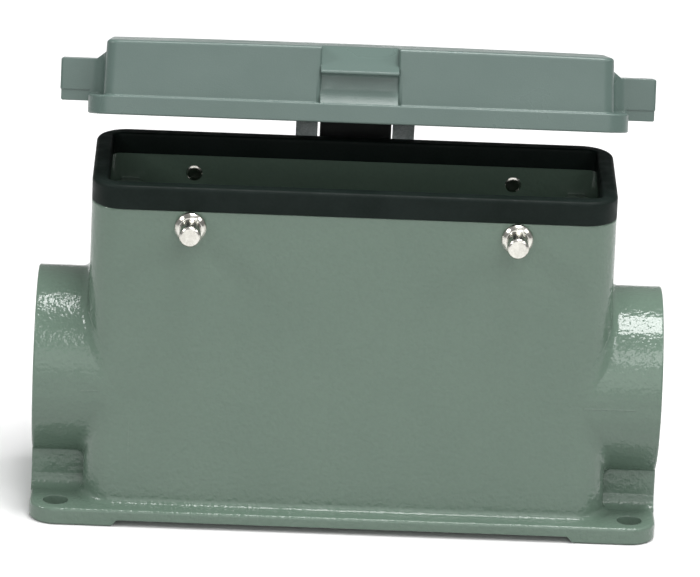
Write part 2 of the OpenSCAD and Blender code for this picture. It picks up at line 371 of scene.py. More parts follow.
def buildEdgeHighlightFinder():
    # finds rounded-over edges by comparing the true normal with a softened one; its mask lays a painted highlight
    # along them, broken into patches
    group, groupIn, groupOut = newGroup(
        "edgeHighlightFinder",
        [("Vector", "Vector", None), ("Reach", "Float", 0.0006), ("Breakup Scale", "Float", 500.0),
         ("Amount", "Float", 1.0)],
        [("Mask", "Float"), ("Soft Normal", "Vector")],
    )
    link = group.links.new
    soft = place(group, "Bevel", -600, 200, samples=6)
    link(groupIn.outputs["Reach"], soft.inputs["Radius"])
    geometry = place(group, "NewGeometry", -600, 0)
    dot = place(group, "VectorMath", -380, 120, operation="DOT_PRODUCT")
    link(soft.outputs["Normal"], dot.inputs[0])
    link(geometry.outputs["Normal"], dot.inputs[1])
    turnedAway = rangeAt(group, dot.outputs["Value"], 0.995, 0.86, 0.0, 1.0, -180, 120)
    broken = noiseAt(group, groupIn.outputs["Vector"], 1.0, -380, -200, 3.0, 0.6)
    link(groupIn.outputs["Breakup Scale"], broken.inputs["Scale"])
    patches = rangeAt(group, broken.outputs["Fac"], 0.35, 0.6, 0.2, 1.0, -180, -200)
    mask = mathAt(group, "MULTIPLY", turnedAway, patches, 50, 50)
    mask = mathAt(group, "MULTIPLY", mask, groupIn.outputs["Amount"], 250, 50, clamp=True)
    link(mask, groupOut.inputs["Mask"])
    link(soft.outputs["Normal"], groupOut.inputs["Soft Normal"])
    return group


def buildGrain():
    # fine moulded or ground grain, stretched by the incoming vector
    group, groupIn, groupOut = newGroup(
        "surfaceGrain",
        [("Vector", "Vector", None), ("Grain Scale", "Float", 4000.0)],
        [("Height", "Float"), ("Streaks", "Float")],
    )
    link = group.links.new
    fine = noiseAt(group, groupIn.outputs["Vector"], 1.0, -600, 200, 2.0, 0.6)
    link(groupIn.outputs["Grain Scale"], fine.inputs["Scale"])
    broadScale = mathAt(group, "MULTIPLY", groupIn.outputs["Grain Scale"], 0.12, -800, -100)
    broad = noiseAt(group, groupIn.outputs["Vector"], 1.0, -600, -60, 2.0, 0.5)
    link(broadScale, broad.inputs["Scale"])
    both = mathAt(group, "ADD", fine.outputs["Fac"], broad.outputs["Fac"], -300, 100)
    link(both, groupOut.inputs["Height"])
    link(rangeAt(group, broad.outputs["Fac"], 0.35, 0.65, 0.0, 1.0, -300, -100), groupOut.inputs["Streaks"])
    return group


hammered = buildHammered()
mottle = buildMottle()
edgeHighlightFinder = buildEdgeHighlightFinder()
grain = buildGrain()


def groupAt(tree, group, x, y, **values):
    node = place(tree, "Group", x, y, node_tree=group)
    for key, value in values.items():
        socket = node.inputs[key.replace("_", " ")]
        if isinstance(value, (int, float, tuple)):
            socket.default_value = value
        else:
            tree.links.new(value, socket)
    return node


def newMaterial(name):
    material = bpy.data.materials.new(name)
    material.use_nodes = True
    tree = material.node_tree
    tree.nodes.clear()
    surface = place(tree, "BsdfPrincipled", 600, 0)
    output = place(tree, "OutputMaterial", 900, 0)
    tree.links.new(surface.outputs["BSDF"], output.inputs["Surface"])
    coords = place(tree, "TexCoord", -1100, 0)
    return material, tree, surface, coords.outputs["Object"]


def bumpAt(tree, height, normal, strength, distance, x, y):
    node = place(tree, "Bump", x, y)
    node.inputs["Strength"].default_value = strength
    node.inputs["Distance"].default_value = distance
    tree.links.new(height, node.inputs["Height"])
    if normal is not None:
        tree.links.new(normal, node.inputs["Normal"])
    return node.outputs["Normal"]


def finishNodes(tree, surface, color, roughness, normal):
    tree.links.new(color, surface.inputs["Base Color"])
    tree.links.new(roughness, surface.inputs["Roughness"])
    tree.links.new(normal, surface.inputs["Normal"])


def tonesAt(tree, coords, look):
    return groupAt(tree, mottle, -700, 300, Vector=coords, Tone=look["tone"], Other_Tone=look["otherTone"],
                   Cloud_Scale=look["cloudScale"], Speck_Scale=look["speckScale"], Specks=look["specks"])


def edgeHighlightAt(tree, coords, look):
    return groupAt(tree, edgeHighlightFinder, -700, -100, Vector=coords, Reach=look["edgeReach"],
                   Breakup_Scale=look["highlightPatchScale"], Amount=look["highlightAmount"])


enamelLook = dict(
    tone=(0.144, 0.212, 0.164, 1), otherTone=(0.137, 0.202, 0.157, 1), cloudScale=38.0, speckScale=1500.0,
    # the edge tone is a painted highlight along the rounded edges
    specks=0.4, highlightTone=(0.26, 0.33, 0.285, 1), edgeReach=0.0005, highlightPatchScale=420.0, highlightAmount=0.45,
    # the hollow tone is painted shade in the pebble dips
    hollowShadeTone=(0.10, 0.14, 0.115, 1), hollowShadeAmount=0.10, pebbleScale=1000.0, ripple=0.2,
    bump=0.8, bumpDistance=0.00016, roughness=(0.13, 0.19),
)


def paintedCasting():
    material, tree, surface, coords = newMaterial("hammered_enamel")
    look = enamelLook
    tones = tonesAt(tree, coords, look)
    edges = edgeHighlightAt(tree, coords, look)
    pebbles = groupAt(tree, hammered, -700, -400, Vector=coords, Pebble_Scale=look["pebbleScale"],
                      Ripple=look["ripple"])
    # painted shade: the enamel darkens in the hollows of the pebbling
    hollow = mathAt(tree, "MULTIPLY", pebbles.outputs["Hollows"], look["hollowShadeAmount"], -400, 250)
    shaded = mixAt(tree, hollow, tones.outputs["Color"], look["hollowShadeTone"], -150, 300)
    # painted highlight: a lighter enamel tone along the rounded edges
    color = mixAt(tree, edges.outputs["Mask"], shaded, look["highlightTone"], 100, 300)
    roughness = rangeAt(tree, tones.outputs["Cloud"], 0.0, 1.0, *look["roughness"], 100, 0)
    normal = bumpAt(tree, pebbles.outputs["Height"], edges.outputs["Soft Normal"], look["bump"],
                    look["bumpDistance"], 300, -350)
    finishNodes(tree, surface, color, roughness, normal)
    return material


# moulded finishes: the cover's satin plastic, the rubber rim and the black hinge arm
# each edge tone is a painted highlight along the rounded edges
mouldedLooks = dict(
    satin_moulding=dict(
        tone=(0.109, 0.160, 0.142, 1), otherTone=(0.103, 0.152, 0.135, 1), cloudScale=60.0, speckScale=2600.0,
        specks=0.35, highlightTone=(0.20, 0.27, 0.245, 1), edgeReach=0.0004, highlightPatchScale=300.0, highlightAmount=0.3,
        grainScale=3000.0, bump=0.6, bumpDistance=0.00005, roughness=(0.26, 0.36), specular=0.5,
    ),
    black_rubber=dict(
        tone=(0.006, 0.011, 0.009, 1), otherTone=(0.010, 0.016, 0.014, 1), cloudScale=70.0, speckScale=1800.0,
        specks=0.4, highlightTone=(0.05, 0.058, 0.055, 1), edgeReach=0.0004, highlightPatchScale=260.0, highlightAmount=0.25,
        grainScale=2400.0, bump=0.5, bumpDistance=0.00003, roughness=(0.42, 0.56), specular=0.1,
    ),
    black_moulding=dict(
        tone=(0.010, 0.011, 0.011, 1), otherTone=(0.016, 0.017, 0.017, 1), cloudScale=90.0, speckScale=2200.0,
        specks=0.4, highlightTone=(0.04, 0.042, 0.042, 1), edgeReach=0.0003, highlightPatchScale=300.0, highlightAmount=0.3,
        grainScale=3000.0, bump=0.5, bumpDistance=0.00003, roughness=(0.40, 0.55), specular=0.5,
    ),
)


def mouldedFinish(name):
    material, tree, surface, coords = newMaterial(name)
    look = mouldedLooks[name]
    tones = tonesAt(tree, coords, look)
    edges = edgeHighlightAt(tree, coords, look)
    fine = groupAt(tree, grain, -700, -400, Vector=coords, Grain_Scale=look["grainScale"])
    # painted highlight: a lighter tone along the rounded edges
    color = mixAt(tree, edges.outputs["Mask"], tones.outputs["Color"], look["highlightTone"], 100, 300)
    # the satin plastic varies with the slow clouds, the black ones with the grain
    varies = tones.outputs["Cloud"] if name == "satin_moulding" else fine.outputs["Streaks"]
    roughness = rangeAt(tree, varies, 0.0, 1.0, *look["roughness"], 100, 0)
    normal = bumpAt(tree, fine.outputs["Height"], edges.outputs["Soft Normal"], look["bump"],
                    look["bumpDistance"], 300, -350)
    finishNodes(tree, surface, color, roughness, normal)
    surface.inputs["Specular IOR Level"].default_value = look["specular"]
    return material


platedLooks = dict(
    zinc_plate=dict(tone=(0.50, 0.52, 0.52, 1), otherTone=(0.36, 0.38, 0.38, 1), roughness=(0.28, 0.45),
                    stretch=(1, 0.25, 1), grainScale=1600.0, bumpDistance=0.00004),
    nickel_plate=dict(tone=(0.66, 0.65, 0.60, 1), otherTone=(0.55, 0.54, 0.49, 1), roughness=(0.16, 0.28),
                      stretch=(1, 0.4, 1), grainScale=2200.0, bumpDistance=0.00002),
)
# the edge tone is a painted highlight along the rounded edges
platedShared = dict(cloudScale=320.0, speckScale=2400.0, specks=0.8, highlightTone=(0.80, 0.80, 0.78, 1),
                    edgeReach=0.00025, highlightPatchScale=600.0, highlightAmount=0.4, bump=0.5)


def platedSteel(name):
    material, tree, surface, coords = newMaterial(name)
    look = {**platedShared, **platedLooks[name]}
    stretched = place(tree, "Mapping", -900, -300)
    stretched.inputs["Scale"].default_value = look["stretch"]
    tree.links.new(coords, stretched.inputs["Vector"])
    tones = tonesAt(tree, coords, look)
    edges = edgeHighlightAt(tree, coords, look)
    streaks = groupAt(tree, grain, -700, -400, Vector=stretched.outputs["Vector"],
                      Grain_Scale=look["grainScale"])
    # painted highlight: a brighter tone along the rounded edges
    color = mixAt(tree, edges.outputs["Mask"], tones.outputs["Color"], look["highlightTone"], 100, 300)
    roughness = rangeAt(tree, streaks.outputs["Streaks"], 0.0, 1.0, *look["roughness"], 100, 0)
    normal = bumpAt(tree, streaks.outputs["Height"], edges.outputs["Soft Normal"], look["bump"],
                    look["bumpDistance"], 300, -350)
    finishNodes(tree, surface, color, roughness, normal)
    surface.inputs["Metallic"].default_value = 1.0
    return material


enamel = paintedCasting()
moulding = mouldedFinish("satin_moulding")
rubber = mouldedFinish("black_rubber")
blackPlastic = mouldedFinish("black_moulding")
zinc = platedSteel("zinc_plate")
nickel = platedSteel("nickel_plate")
print("finishes mixed")


# the die-cast housing

baseHoles = mounts["base_holes"]["dims"]
insertHoles = mounts["insert_screws"]["dims"]
casting = dict(
    flangeEdge=0.75, flangeCorner=6.2, flangeThick=4.0, footFillet=1.5, bodyCorner=7.5, shoulderEdge=0.35,
    draftLength=0.8, draftWidth=1.0, tongueInset=1.25, wall=3.1, floorZ=7.0, cavityCorner=3.4,
    bossRadius=21.7, bossFillet=1.9, bossEdge=0.4, partingHigh=31.2,
    pedestalWidth=22.8, pedestalFoot=2.4, pedestalStep=0.3, postRadius=4.2, postDrop=5.4,
    reliefHalf=53.0, reliefHigh=1.5,
    holeRadius=baseHoles["hole_r_mm"],
    holeX=baseHoles["spacing_x_mm"] / 2, holeY=baseHoles["spacing_y_mm"] / 2,
    insertX=insertHoles["spacing_x_mm"] / 2, insertY=insertHoles["spacing_y_mm"] / 2, insertHole=1.65,
    entryRadius=mounts["entry_left"]["dims"]["r_mm"], entryZ=mounts["entry_left"]["pos_m"][2] / mm,
    threadPitch=1.5, threadDepth=0.75,
)
flangeLength = housingHigh.x - housingLow.x
flangeWidth = housingHigh.y - housingLow.y
bodyLength = gasketHigh.x - gasketLow.x
bodyWidth = gasketHigh.y - gasketLow.y - 0.4
shoulderZ = gasketLow.z
tongueZ = housingHigh.z


def bodyHalf(z):
    # half length and half width of the drafted body at a height
    share = 1 - (z - casting["flangeThick"]) / (shoulderZ - casting["flangeThick"])
    return (bodyLength + casting["draftLength"] * share) / 2, (bodyWidth + casting["draftWidth"] * share) / 2


def castingBlock():
    c = casting
    rings = []

    def ring(inset, corner, z, half=None):
        halfX, halfY = half or bodyHalf(z)
        rings.append(roundedRing(2 * (halfX - inset), 2 * (halfY - inset), corner, z, 12, 6, 3))

    flangeHalf = (flangeLength / 2, flangeWidth / 2)
    ring(0.3, c["flangeCorner"] - 0.3, 0, flangeHalf)
    ring(0, c["flangeCorner"], 0.3, flangeHalf)
    for inset, rise in edgeArc(c["flangeEdge"], c["flangeEdge"], 4):
        ring(inset, c["flangeCorner"] - inset, c["flangeThick"] - c["flangeEdge"] + rise, flangeHalf)
    for step in range(7):
        turn = math.radians(15 * step)
        out = c["footFillet"] * (1 - math.sin(turn))
        ring(-out, c["bodyCorner"] + out, c["flangeThick"] + c["footFillet"] * (1 - math.cos(turn)))
    for inset, rise in edgeArc(c["shoulderEdge"], c["shoulderEdge"], 3):
        ring(inset, c["bodyCorner"] - inset, shoulderZ - c["shoulderEdge"] + rise)
    ring(c["tongueInset"], c["bodyCorner"] - c["tongueInset"], shoulderZ)
    ring(c["tongueInset"], c["bodyCorner"] - c["tongueInset"], tongueZ, bodyHalf(shoulderZ))
    return ringStack(rings)


def bossSolid(side):
    # Round boss. Its root is the blend that a small ball would roll between the boss and the body,
    # so it dies out toward the front and the back, where boss and body share one surface.
    c = casting
    corner = c["bodyCorner"]
    endX = flangeLength / 2
    wallX, halfY = bodyHalf(c["entryZ"])
    cornerX, cornerY = wallX - corner, halfY - corner
    segments = 180

    def point(x, radius, turn):
        z = c["entryZ"] + radius * math.sin(turn)
        limit = bodyHalf(z)[1] - 0.02
        return Vector((side * x, max(min(radius * math.cos(turn), limit), -limit), z))

    def wallAt(y, out):
        # the body's surface grown outward, at a distance from the middle plane
        over = abs(y) - cornerY
        if over <= 0:
            return wallX + out
        return cornerX + math.sqrt(max((corner + out) ** 2 - over ** 2, 0))

    rings = []
    for step in range(5):
        angle = math.radians(90 * step / 4)
        x = endX - c["bossEdge"] * (1 - math.sin(angle))
        radius = c["bossRadius"] - c["bossEdge"] * (1 - math.cos(angle))
        rings.append([point(x, radius, 2 * math.pi * k / segments) for k in range(segments)])
    rings.reverse()
    for step in range(9):
        angle = math.radians(90 * step / 8)
        ring = []
        for k in range(segments):
            turn = 2 * math.pi * k / segments
            over = max(abs(c["bossRadius"] * math.cos(turn)) - cornerY, 0)
            lean = math.sqrt(max(1 - (over / corner) ** 2, 0))
            square = 1 - (abs(math.cos(turn)) * math.sqrt(1 - lean ** 2)) ** 2
            blend = c["bossFillet"] * math.sqrt(max(square, 0))
            grown = blend * (1 - math.sin(angle))
            spread = blend * (1 - math.cos(angle))
            radius = c["bossRadius"] + spread
            ring.append(point(wallAt(min(radius * abs(math.cos(turn)), halfY), grown), radius, turn))
        rings.append(ring)
    rings.append([Vector((v.x - side * 1.5, v.y, v.z)) for v in rings[-1]])
    return ringStack(rings)


def pedestalSolid(side):
    c = casting
    half, foot, base, step = c["pedestalWidth"] / 2, c["pedestalFoot"], c["flangeThick"], c["pedestalStep"]
    outline = [(-half - step - foot, base - 0.5), (-half - step - foot, base + 0.01)]
    outline += [(-half - step - foot + foot * math.sin(t), base + foot * (1 - math.cos(t)))
                for t in (math.radians(15 * k) for k in range(1, 6))]
    outline += [(-half - step, base + foot + 0.05), (-half - 0.2, base + foot + 0.3),
                (-half, base + foot + 0.35), (-half, c["entryZ"])]
    mirrored = [(-y, z) for y, z in reversed(outline)]
    return prism(outline + mirrored, "x", side * (bodyLength / 2 - 3), side * (flangeLength / 2 - 0.02))


def partingMarks():
    # low witness lines left by the die: one across each boss front, one up the front of the body
    c = casting
    marks = []
    for side, start, end in ((1, 54.6, 66.5), (-1, 57.0, 61.0)):
        face = -bodyHalf(c["partingHigh"])[1]
        outline = [(face + 0.3, -0.16), (face - 0.03, -0.11), (face - 0.085, 0), (face - 0.03, 0.11),
                   (face + 0.3, 0.16)]
        marks.append(prism([(y, c["partingHigh"] + z) for y, z in outline], "x", side * start, side * end))
    x = -49.9
    for low, high, proud in ((c["flangeThick"] + 0.4, 24.0, 0.05), (26.0, 29.5, 0.03)):
        rings = []
        for z in (low, high):
            face = -bodyHalf(z)[1]
            profile = ((-0.15, 0.3), (-0.1, 0), (0, -proud), (0.1, 0), (0.15, 0.3))
            rings.append([Vector((x + across, face + deep, z)) for across, deep in profile])
        marks.append(ringStack(rings))
    return marks


def threadedBore(side):
    # internal thread as a screw-shaped cutter
    c = casting
    segments, turnSteps = 72, 6
    core, depth, pitch = c["entryRadius"], c["threadDepth"], c["threadPitch"]
    startX, endX = bodyLength / 2 - c["wall"] - 1.5, flangeLength / 2 + 0.5
    count = int((endX - startX) / (pitch / turnSteps))
    rings = []
    for step in range(count + 1):
        x = startX + (endX - startX) * step / count
        ring = []
        for index in range(segments):
            share = index / segments
            phase = (x / pitch + share) % 1.0
            wave = 1 - abs(2 * phase - 1)
            radius = core + depth * min(max((wave - 0.15) / 0.7, 0), 1)
            mouth = x - (flangeLength / 2 - 1.2)
            radius = max(radius, core + mouth) if mouth > 0 else radius
            turn = 2 * math.pi * share
            ring.append(Vector((side * x, radius * math.cos(turn), c["entryZ"] + radius * math.sin(turn))))
        rings.append(ring)
    return ringStack(rings)


def insertPost(sideX, sideY):
    c = casting
    x, y = sideX * c["insertX"], sideY * c["insertY"]
    top = shoulderZ - c["postDrop"]
    cavityX = bodyLength / 2 - c["wall"] + 1.0
    cavityY = bodyWidth / 2 - c["wall"] + 1.0
    over = c["entryZ"] + c["entryRadius"] + 1.5
    high = top - c["floorZ"] + 1.0
    radius = c["postRadius"]
    foot = c["floorZ"] - 1
    profile = [(0, radius + 0.3), (high - 0.3, radius), (high, radius - 0.3)]
    post = turned(profile, (x, y, foot), (0, 0, 1), 32)
    low, far = sorted((x, sideX * cavityX))
    webEnd = oblong((low, over), (far, top), "y", y - 2, y + 2)
    low, far = sorted((y, sideY * cavityY))
    webSide = oblong((low, foot), (far, top - 0.01), "x", x - 2, x + 2)
    return post, webEnd, webSide


def buildHousing():
    c = casting
    shape = shapeFrom(castingBlock())
    for side in (-1, 1):
        add(shape, bossSolid(side), pedestalSolid(side))
    add(shape, *partingMarks())
    cavityLength, cavityWidth = bodyLength - 2 * c["wall"] + 0.2, bodyWidth - 2 * c["wall"]
    cavity = []
    for inset, z in ((1.5, c["floorZ"]), (0.4, c["floorZ"] + 0.5), (0, c["floorZ"] + 1.6), (0, tongueZ + 2)):
        length, width = cavityLength - 2 * inset, cavityWidth - 2 * inset
        cavity.append(roundedRing(length, width, c["cavityCorner"] - inset, z, 6))
    cut(shape, ringStack(cavity))
    for sideX in (-1, 1):
        for sideY in (-1, 1):
            add(shape, *insertPost(sideX, sideY))
    for side in (-1, 1):
        cut(shape, threadedBore(side))
    h, z = c["reliefHalf"], c["reliefHigh"]
    relief = [(h + 0.9, -1), (h + 0.2, 0), (h - 0.9, z - 0.15), (h - 1.3, z)]
    mirrored = [(-x, z) for x, z in reversed(relief)]
    cut(shape, prism(relief + mirrored, "y", -flangeWidth, flangeWidth))
    holes = []
    for sideX in (-1, 1):
        for sideY in (-1, 1):
            holes.append(turned([(0, c["holeRadius"]), (c["flangeThick"] + 2, c["holeRadius"])],
                                (sideX * c["holeX"], sideY * c["holeY"], -1), (0, 0, 1), 48))
            holes.append(turned([(0, c["insertHole"]), (17, c["insertHole"])],
                                (sideX * c["insertX"], sideY * c["insertY"], shoulderZ - 21), (0, 0, 1), 24))
    cut(shape, together(*holes))
    return finishPiece("housing_casting", shape, enamel, "housing", ["housing"],
                       sharpAngle=32)


buildHousing()
print("casting built")


# rubber gasket over the tongue

sealing = dict(edge=0.9, lipInset=3.8, lipDrop=0.75, mouthCorner=2.0)


def buildGasket():
    g = sealing
    length, width = gasketHigh.x - gasketLow.x, gasketHigh.y - gasketLow.y
    corner, edge = casting["bodyCorner"], g["edge"]

    def ring(inset, radius, z):
        return roundedRing(length - 2 * inset, width - 2 * inset, radius, z, 12, 6, 3)

    rings = [ring(0.2, corner - 0.2, shoulderZ), ring(0, corner, shoulderZ + 0.2)]
    for inset, rise in edgeArc(edge, edge, 6):
        rings.append(ring(inset, corner - inset, rimZ - edge + rise))
    shape = shapeFrom(ringStack(rings))
    mouth = []
    for flare, z in ((0, shoulderZ - 1), (0, rimZ - 0.7), (0.2, rimZ - 0.2), (0.6, rimZ + 0.1)):
        inset = g["lipInset"] - flare
        mouth.append(roundedRing(length - 2 * inset, width - 2 * inset, g["mouthCorner"] + flare, z, 8))
    cut(shape, ringStack(mouth))
    wall = casting["wall"]
    cavityLength, cavityWidth = bodyLength - 2 * wall, bodyWidth - 2 * wall
    tongue = [roundedRing(bodyLength - 2.4, bodyWidth - 2.4, corner - 1.1, z, 8)
              for z in (shoulderZ - 1, tongueZ + 0.05)]
    core = [roundedRing(cavityLength - 0.1, cavityWidth - 0.3, casting["cavityCorner"] - 0.1, z, 8)
            for z in (shoulderZ - 2, tongueZ + 2)]
    slot = shapeFrom(ringStack(tongue))
    cut(slot, ringStack(core))
    cut(shape, takeBack(slot))
    # the inner lip stops a little above the shoulder
    cut(shape, ringStack([roundedRing(cavityLength + 0.3, cavityWidth + 0.1, casting["cavityCorner"], z, 8)
                          for z in (shoulderZ - 2, shoulderZ + g["lipDrop"])]))
    return finishPiece("gasket_rim", shape, rubber, "housing", ["rim_gasket"], sharpAngle=40)


buildGasket()
print("gasket built")


# riveted locking pegs

pegShape = dict(collarThick=1.2, collarTaper=0.6, neck=0.25, chamfer=0.45, shank=1.6, tail=1.75)


def buildPeg(node):
    low, high = boxMm(node)
    out = -1 if abs(low.y) > abs(high.y) else 1
    tipY = low.y if out < 0 else high.y
    innerY = high.y if out < 0 else low.y
    centre = (low.x + high.x) / 2
    collar = (high.x - low.x) / 2
    radius = mounts[node]["dims"]["r_mm"]
    z = (low.z + high.z) / 2
    p = pegShape
    face = bodyHalf(z)[1]
    reach = abs(tipY) - face
    tail = abs(innerY) - face
    wallIn = -casting["wall"]
    thick, taper = p["collarThick"], p["collarTaper"]
    profile = [
        (tail + 0.12, 0.5), (tail + 0.02, 1.0), (tail, 1.3), (tail + 0.1, 1.55),
        (wallIn - 0.15, p["tail"] + 0.1), (wallIn, p["tail"] + 0.15), (wallIn + 0.01, p["shank"]),
        (-0.02, p["shank"]), (-0.01, collar - 0.15), (0.15, collar),
        (thick - 0.2, collar), (thick - 0.03, collar - 0.1),
        (thick + taper, radius + 0.42), (thick + taper + 0.1, radius + 0.28),
        (thick + taper + 0.12, radius + 0.08), (thick + taper + p["neck"], radius),
        (reach - p["chamfer"] - 0.06, radius), (reach - p["chamfer"] + 0.04, radius - 0.06),
        (reach - 0.06, radius - p["chamfer"] + 0.04), (reach, radius - p["chamfer"] - 0.06),
        (reach - 0.03, radius - p["chamfer"] - 0.6), (reach - 0.04, 0.5),
    ]
    shape = shapeFrom(turned(profile, (centre, out * face, z), (0, out, 0), 72))
    side = "left" if centre < 0 else "right"
    where = "front" if out < 0 else "rear"
    return finishPiece("peg_steel_" + where + "_" + side, shape, nickel, "housing", [node],
                       sharpAngle=30)


for pegNode in ("peg_front_left", "peg_front_right", "peg_rear_left", "peg_rear_right"):
    buildPeg(pegNode)
print("pegs turned")


# hinged cover, drawn shut

lid = dict(
    skirtLength=123.2, skirtWidth=45.0, skirtHigh=4.3, skirtCorner=5.2, skirtEdge=0.35,
    boxLength=116.2, boxWidth=42.4, boxCorner=2.6, boxEdge=0.8, high=16.9, crown=0.35, draft=0.35,
    wall=2.4, notchHalf=8.75, notchFlare=0.9, lugReach=10.3, lipHigh=11.2,
    strapRoom=14.3,
)


def coverBlock():
    v = lid
    rings = []

    def ring(length, width, corner, z):
        rings.append(roundedRing(length, width, corner, seatZ + z, steps=8, longCuts=28, shortCuts=8))

    ring(v["skirtLength"] - 0.5, v["skirtWidth"] - 0.5, v["skirtCorner"] - 0.25, 0)
    ring(v["skirtLength"], v["skirtWidth"], v["skirtCorner"], 0.25)
    for inset, rise in edgeArc(v["skirtEdge"], v["skirtEdge"], 3):
        ring(v["skirtLength"] - 2 * inset, v["skirtWidth"] - 2 * inset, v["skirtCorner"] - inset,
             v["skirtHigh"] - v["skirtEdge"] + rise)
    foot = 0.35
    for step in range(4):
        turn = math.radians(90 * step / 3)
        out = foot * (1 - math.sin(turn))
        ring(v["boxLength"] + 2 * out, v["boxWidth"] + 2 * out, v["boxCorner"] + out,
             v["skirtHigh"] + foot * (1 - math.cos(turn)))
    for inset, rise in edgeArc(v["boxEdge"], v["boxEdge"], 5):
        cutBack = 2 * (inset + v["draft"])
        ring(v["boxLength"] - cutBack, v["boxWidth"] - cutBack, v["boxCorner"] - inset,
             v["high"] - v["boxEdge"] + rise)
    for inset in (4, 9, 14, 19):
        ring(v["boxLength"] - 2 * inset, v["boxWidth"] - 2 * inset, 0.6, v["high"])
    bm = ringStack(rings)
    crownCover(bm)
    return bm


def crownCover(bm):
    # the top bows up a little toward the middle
    for vert in bm.verts:
        share = min(max((vert.co.z - seatZ - 6) / (lid["high"] - 6), 0), 1)
        vert.co.z += lid["crown"] * share * (1 - (vert.co.x / (lid["boxLength"] / 2)) ** 2)


def lugSolid(side):
    v = lid
    x0, x1 = v["boxLength"] / 2 - 1, v["boxLength"] / 2 + v["lugReach"]
    outline = [(x0, 2.4), (x1 - 0.5, 2.4), (x1 - 0.2, 2.7), (x1 - 0.2, 4.85), (x1, 5.0), (x1, 11.8),
               (x1 - 0.3, 12.1), (x0 + 3.2, 12.1), (x0 + 1.0, 13.9), (x0, 13.9)]
    points = [(side * x, seatZ + z) for x, z in outline]
    shape = shapeFrom(prism(points, "y", -9, 9))
    plan = [(x0, -8.0), (x0 + 1.2, -8.0)] + arcPoints((x0 + 4.2, -8.0), 3.0, 180, 90, 5)
    plan += [(x1 - 0.4, -5.0), (x1, -4.6)]
    plan += [(x, -y) for x, y in reversed(plan)]
    keep = prism([(side * x, y) for x, y in plan], "z", seatZ, seatZ + 30)
    combine(shape, keep, "INTERSECT")
    # shallow step along the front and the back, where the lower band starts
    for face in (-1, 1):
        y0, y1 = sorted((face * 4.85, face * 6))
        cut(shape, oblong((side * (x0 + 4.5), y0), (side * (x1 + 1), y1), "z", seatZ, seatZ + 4.9))
    softenEdges(shape, 0.22, 2, 30)
    return takeBack(shape)


def notchCutter():
    # plan with rounded edges to the box front, swept up
    v = lid
    half, flare = v["notchHalf"], v["notchFlare"]
    front = -v["boxWidth"] / 2 + v["draft"] * 0.5
    right = arcPoints((half + flare, front + flare), flare, 180, 270, 6)
    plan = [(half, front + 10.6)] + right + [(half + flare + 0.3, -32)]
    plan = plan + [(-x, y) for x, y in reversed(plan)]
    return prism(plan, "z", seatZ + v["skirtHigh"] + 0.1, seatZ + 30)


def gripSolid():
    # ramp, lip and the hollow face below it, which sweeps out to the skirt
    v = lid
    half = v["notchHalf"] + 0.15
    boxFront, skirtFront = -v["boxWidth"] / 2, -v["skirtWidth"] / 2
    top, lip = v["high"] + v["crown"], v["lipHigh"]
    outline = [
        (boxFront + 9.0, top), (boxFront + 8.2, top - 0.04), (boxFront + 7.2, top - 0.3),
        (skirtFront + 0.9, lip + 1.05), (skirtFront + 0.55, lip + 0.85), (skirtFront + 0.35, lip + 0.7),
        (skirtFront + 0.12, lip + 0.6), (skirtFront + 0.02, lip + 0.45), (skirtFront, lip + 0.1),
        (skirtFront + 0.25, lip - 0.1), (boxFront + 0.9, lip - 0.25), (boxFront + 1.25, lip - 0.7),
        (boxFront + 1.3, lip - 1.6), (boxFront + 0.95, 7.6), (boxFront + 0.35, 6.0), (skirtFront + 0.55, 4.4),
        (skirtFront + 0.15, 3.4), (skirtFront + 0.01, 2.4), (skirtFront + 0.01, 1.2), (skirtFront + 3, 1.0),
        (boxFront + 5.0, 11.0), (boxFront + 11.0, v["high"] - 2.2), (boxFront + 11.0, top),
    ]
    return prism([(y, seatZ + z) for y, z in outline], "x", -half, half)


def buildCover():
    v = lid
    shape = shapeFrom(coverBlock())
    for side in (-1, 1):
        add(shape, lugSolid(side))
    cut(shape, notchCutter())
    add(shape, gripSolid())
    innerLength, innerWidth = v["boxLength"] - 2 * v["wall"], v["boxWidth"] - 2 * v["wall"]
    ceiling = v["high"] - v["wall"]
    hollow = [roundedRing(innerLength + wider, innerWidth + wider, corner, seatZ + z, 6, 6, 2)
              for wider, corner, z in ((0.8, 1.8, -0.5), (0.2, 1.5, 0.4), (0, 1.4, 1.2),
                                       (-0.4, 1.4, ceiling - 1.0), (-1.2, 1.2, ceiling - 0.2),
                                       (-2.4, 1.0, ceiling))]
    inside = shapeFrom(ringStack(hollow))
    front = -innerWidth / 2
    keepOut = prism([(front - 2, seatZ + 4.2), (front + 1.8, seatZ + 4.4), (front + 2.6, seatZ + 11.0),
                     (front + 9.4, seatZ + v["high"] - 1.2), (front - 2, seatZ + v["high"] - 1.2)], "x",
                    -v["notchHalf"] - 1.6, v["notchHalf"] + 1.6, 0.3)
    cut(inside, keepOut)
    for side in (-1, 1):
        x = side * 32
        rib = [(x - 0.8, seatZ + 9), (x + 0.8, seatZ + 9), (x + 0.9, seatZ + 16), (x - 0.9, seatZ + 16)]
        cut(inside, prism(rib, "y", -innerWidth, innerWidth, 0.15))
    cut(shape, takeBack(inside))
    # room for the hinge strap in the middle of the rear skirt
    half = v["strapRoom"]
    cut(shape, oblong((-half, v["boxWidth"] / 2), (half, 40), "z", seatZ - 1, seatZ + v["skirtHigh"] + 2))
    return finishPiece("cover_moulding", shape, moulding, "cover", ["cover"], openTurn,
                       sharpAngle=34)


buildCover()
print("cover built")


# hinge strap, block, rivets, bracket, pin, ring and screws

hingeParts = dict(
    legIn=8.8, legOut=13.9, strap=1.6, strapEye=3.6, blockWidth=16.7, blockShift=0.1, barrel=4.5,
    earX=14.6, earThick=2.0, earEye=4.6, plate=1.5, pin=2.0, fit=0.05, screwX=6.0, screwDrop=6.0, ring=3.6,
)


def pinHole():
    radius = hingeParts["pin"] + hingeParts["fit"]
    return turned([(-40, radius), (40, radius)], (0, hingeAt.y, hingeAt.z), (1, 0, 0), 48)


